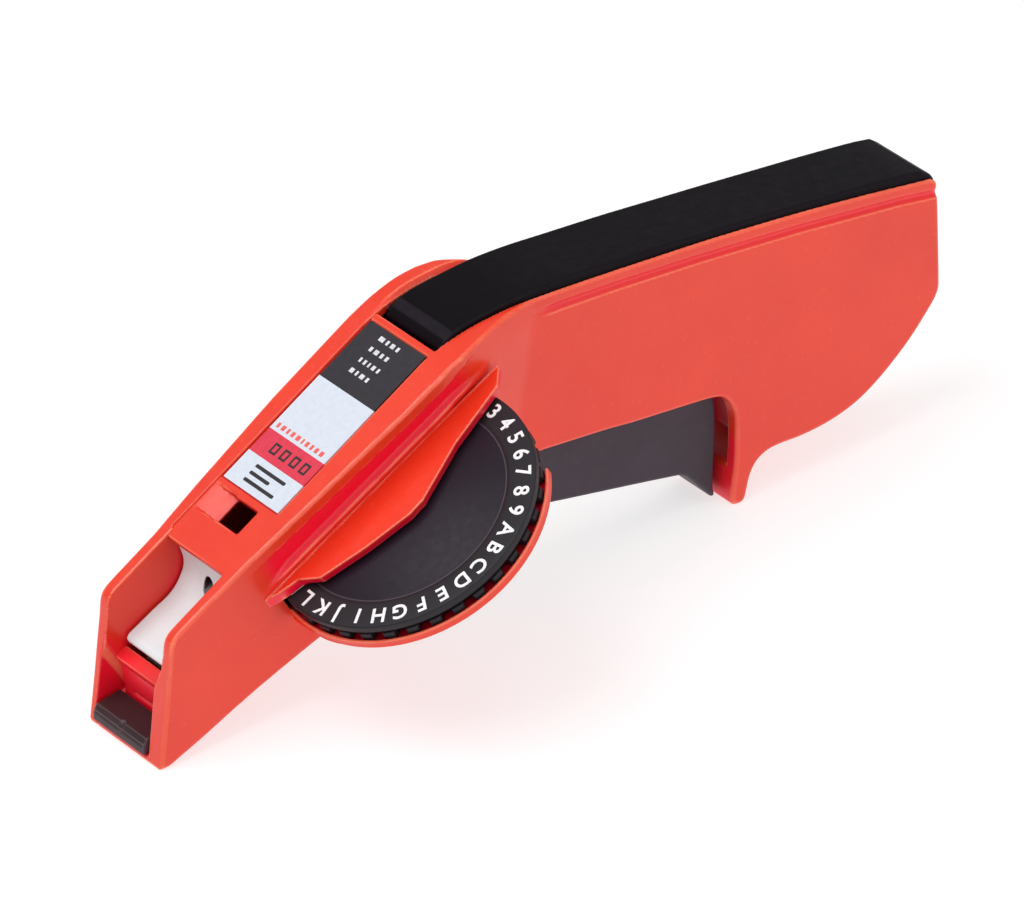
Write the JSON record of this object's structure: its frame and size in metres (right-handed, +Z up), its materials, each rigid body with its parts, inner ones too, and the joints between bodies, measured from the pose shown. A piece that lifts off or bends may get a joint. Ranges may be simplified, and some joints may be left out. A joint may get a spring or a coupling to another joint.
{
  "type": "embossing label maker",
  "caption": "Hand-held embossing label maker with a side letter dial, squeeze trigger, hinged grip lid over the tape compartment and a thumb cut-off key in the nose.",
  "frame": {"origin": "bottom centre of the tool as it stands on the lower edge of its nose and on the tip of its rear prong", "axes": "+X towards the nose, +Y towards the letter dial, +Z up"},
  "size_m": [0.2066, 0.064, 0.0726],
  "materials": {
    "red_shell": "satin moulded red plastic, slightly glossy",
    "black_grip": "near-black satin moulded plastic with a faint grain",
    "dial_plastic": "dark purple-grey moulded plastic with white characters",
    "trigger_plastic": "dark grey moulded plastic",
    "key_white": "off-white moulded plastic",
    "steel": "plain steel",
    "label_print": "printed glossy label, blocks of black, white and red",
    "rubber": "matt black rubber",
    "tape_blue": "glossy blue embossing tape",
    "nylon": "natural nylon"
  },
  "bodies": {
    "housing": {"main_housing": "red_shell", "side_cover": "red_shell", "housing_screw_1": "steel", "housing_screw_2": "steel", "housing_screw_3": "steel", "housing_screw_4": "steel", "lid_hinge_pin": "steel", "label_strip": "label_print", "dial_bridge": "red_shell", "dial_guard": "red_shell", "dial_axle": "steel", "dial_axle_screw": "steel", "dial_detent_leaf": "steel", "trigger_pivot_pin": "steel", "trigger_return_spring": "steel", "hammer_guide": "nylon", "anvil_frame": "steel", "spool_axle": "steel", "tape_run": "tape_blue", "pawl_pin": "steel", "pressure_shaft": "steel", "cut_key_pin": "steel", "cut_key_spring": "steel", "exit_block": "black_grip"},
    "dial": {"letter_disc_upper": "dial_plastic", "letter_disc_lower": "dial_plastic"},
    "trigger": {"trigger": "trigger_plastic"},
    "hammer": {"hammer": "steel"},
    "lid": {"grip_lid": "black_grip"},
    "spool": {"spool_hub": "nylon", "tape_roll": "tape_blue"},
    "feed": {"feed_roller": "rubber", "feed_shaft": "steel", "feed_ratchet": "nylon"},
    "pressure": {"pressure_roller": "rubber"},
    "pawl": {"feed_pawl": "steel"},
    "key": {"cut_key": "key_white"},
    "blade": {"cutter_blade": "steel", "blade_carrier": "nylon"}
  },
  "joints": [
    {"name": "dial_spin", "type": "hinge", "parent": "housing", "child": "dial", "pos_m": [0.04526, 0.00155, 0.04166], "axis": [0.4949, 0, 0.869], "continuous": true},
    {"name": "trigger_squeeze", "type": "hinge", "parent": "housing", "child": "trigger", "pos_m": [0.06664, -0.01695, 0.01959], "axis": [0, 1, 0], "range_deg": [0, 7.5], "stiffness_Nm_per_rad": 1.2, "springref_deg": -11.46, "deforming": ["trigger_return_spring"]},
    {"name": "hammer_lift", "type": "slide", "parent": "housing", "child": "hammer", "axis": [0.4949, 0, 0.869], "range_m": [0, 0.00205]},
    {"name": "lid_swing", "type": "hinge", "parent": "housing", "child": "lid", "pos_m": [0.02567, -0.01695, 0.06709], "axis": [0, 1, 0], "range_deg": [0, 65]},
    {"name": "spool_spin", "type": "hinge", "parent": "housing", "child": "spool", "pos_m": [-0.0748, -0.01695, 0.03696], "axis": [0, 1, 0], "continuous": true},
    {"name": "feed_spin", "type": "hinge", "parent": "housing", "child": "feed", "pos_m": [0.08055, -0.01695, 0.01472], "axis": [0, 1, 0], "continuous": true},
    {"name": "pressure_spin", "type": "hinge", "parent": "housing", "child": "pressure", "pos_m": [0.08298, -0.01695, 0.01898], "axis": [0, 1, 0], "continuous": true},
    {"name": "pawl_swing", "type": "hinge", "parent": "housing", "child": "pawl", "pos_m": [0.08629, -0.02345, 0.01185], "axis": [0, 1, 0], "range_deg": [0, 6.2]},
    {"name": "key_press", "type": "hinge", "parent": "housing", "child": "key", "pos_m": [0.07724, -0.01695, 0.02345], "axis": [0, 1, 0], "range_deg": [0, 7], "stiffness_Nm_per_rad": 0.05, "springref_deg": -11.46, "deforming": ["cut_key_spring"]},
    {"name": "blade_drop", "type": "slide", "parent": "housing", "child": "blade", "axis": [0, 0, -1], "range_m": [0, 0.0024]}
  ],
  "couplings": [
    {"joint": "hammer_lift", "follows": "trigger_squeeze", "m_per_rad": 0.0156},
    {"joint": "pawl_swing", "follows": "trigger_squeeze", "ratio": 0.8},
    {"joint": "pressure_spin", "follows": "feed_spin", "ratio": -1.645},
    {"joint": "blade_drop", "follows": "key_press", "m_per_rad": 0.0196}
  ]
}
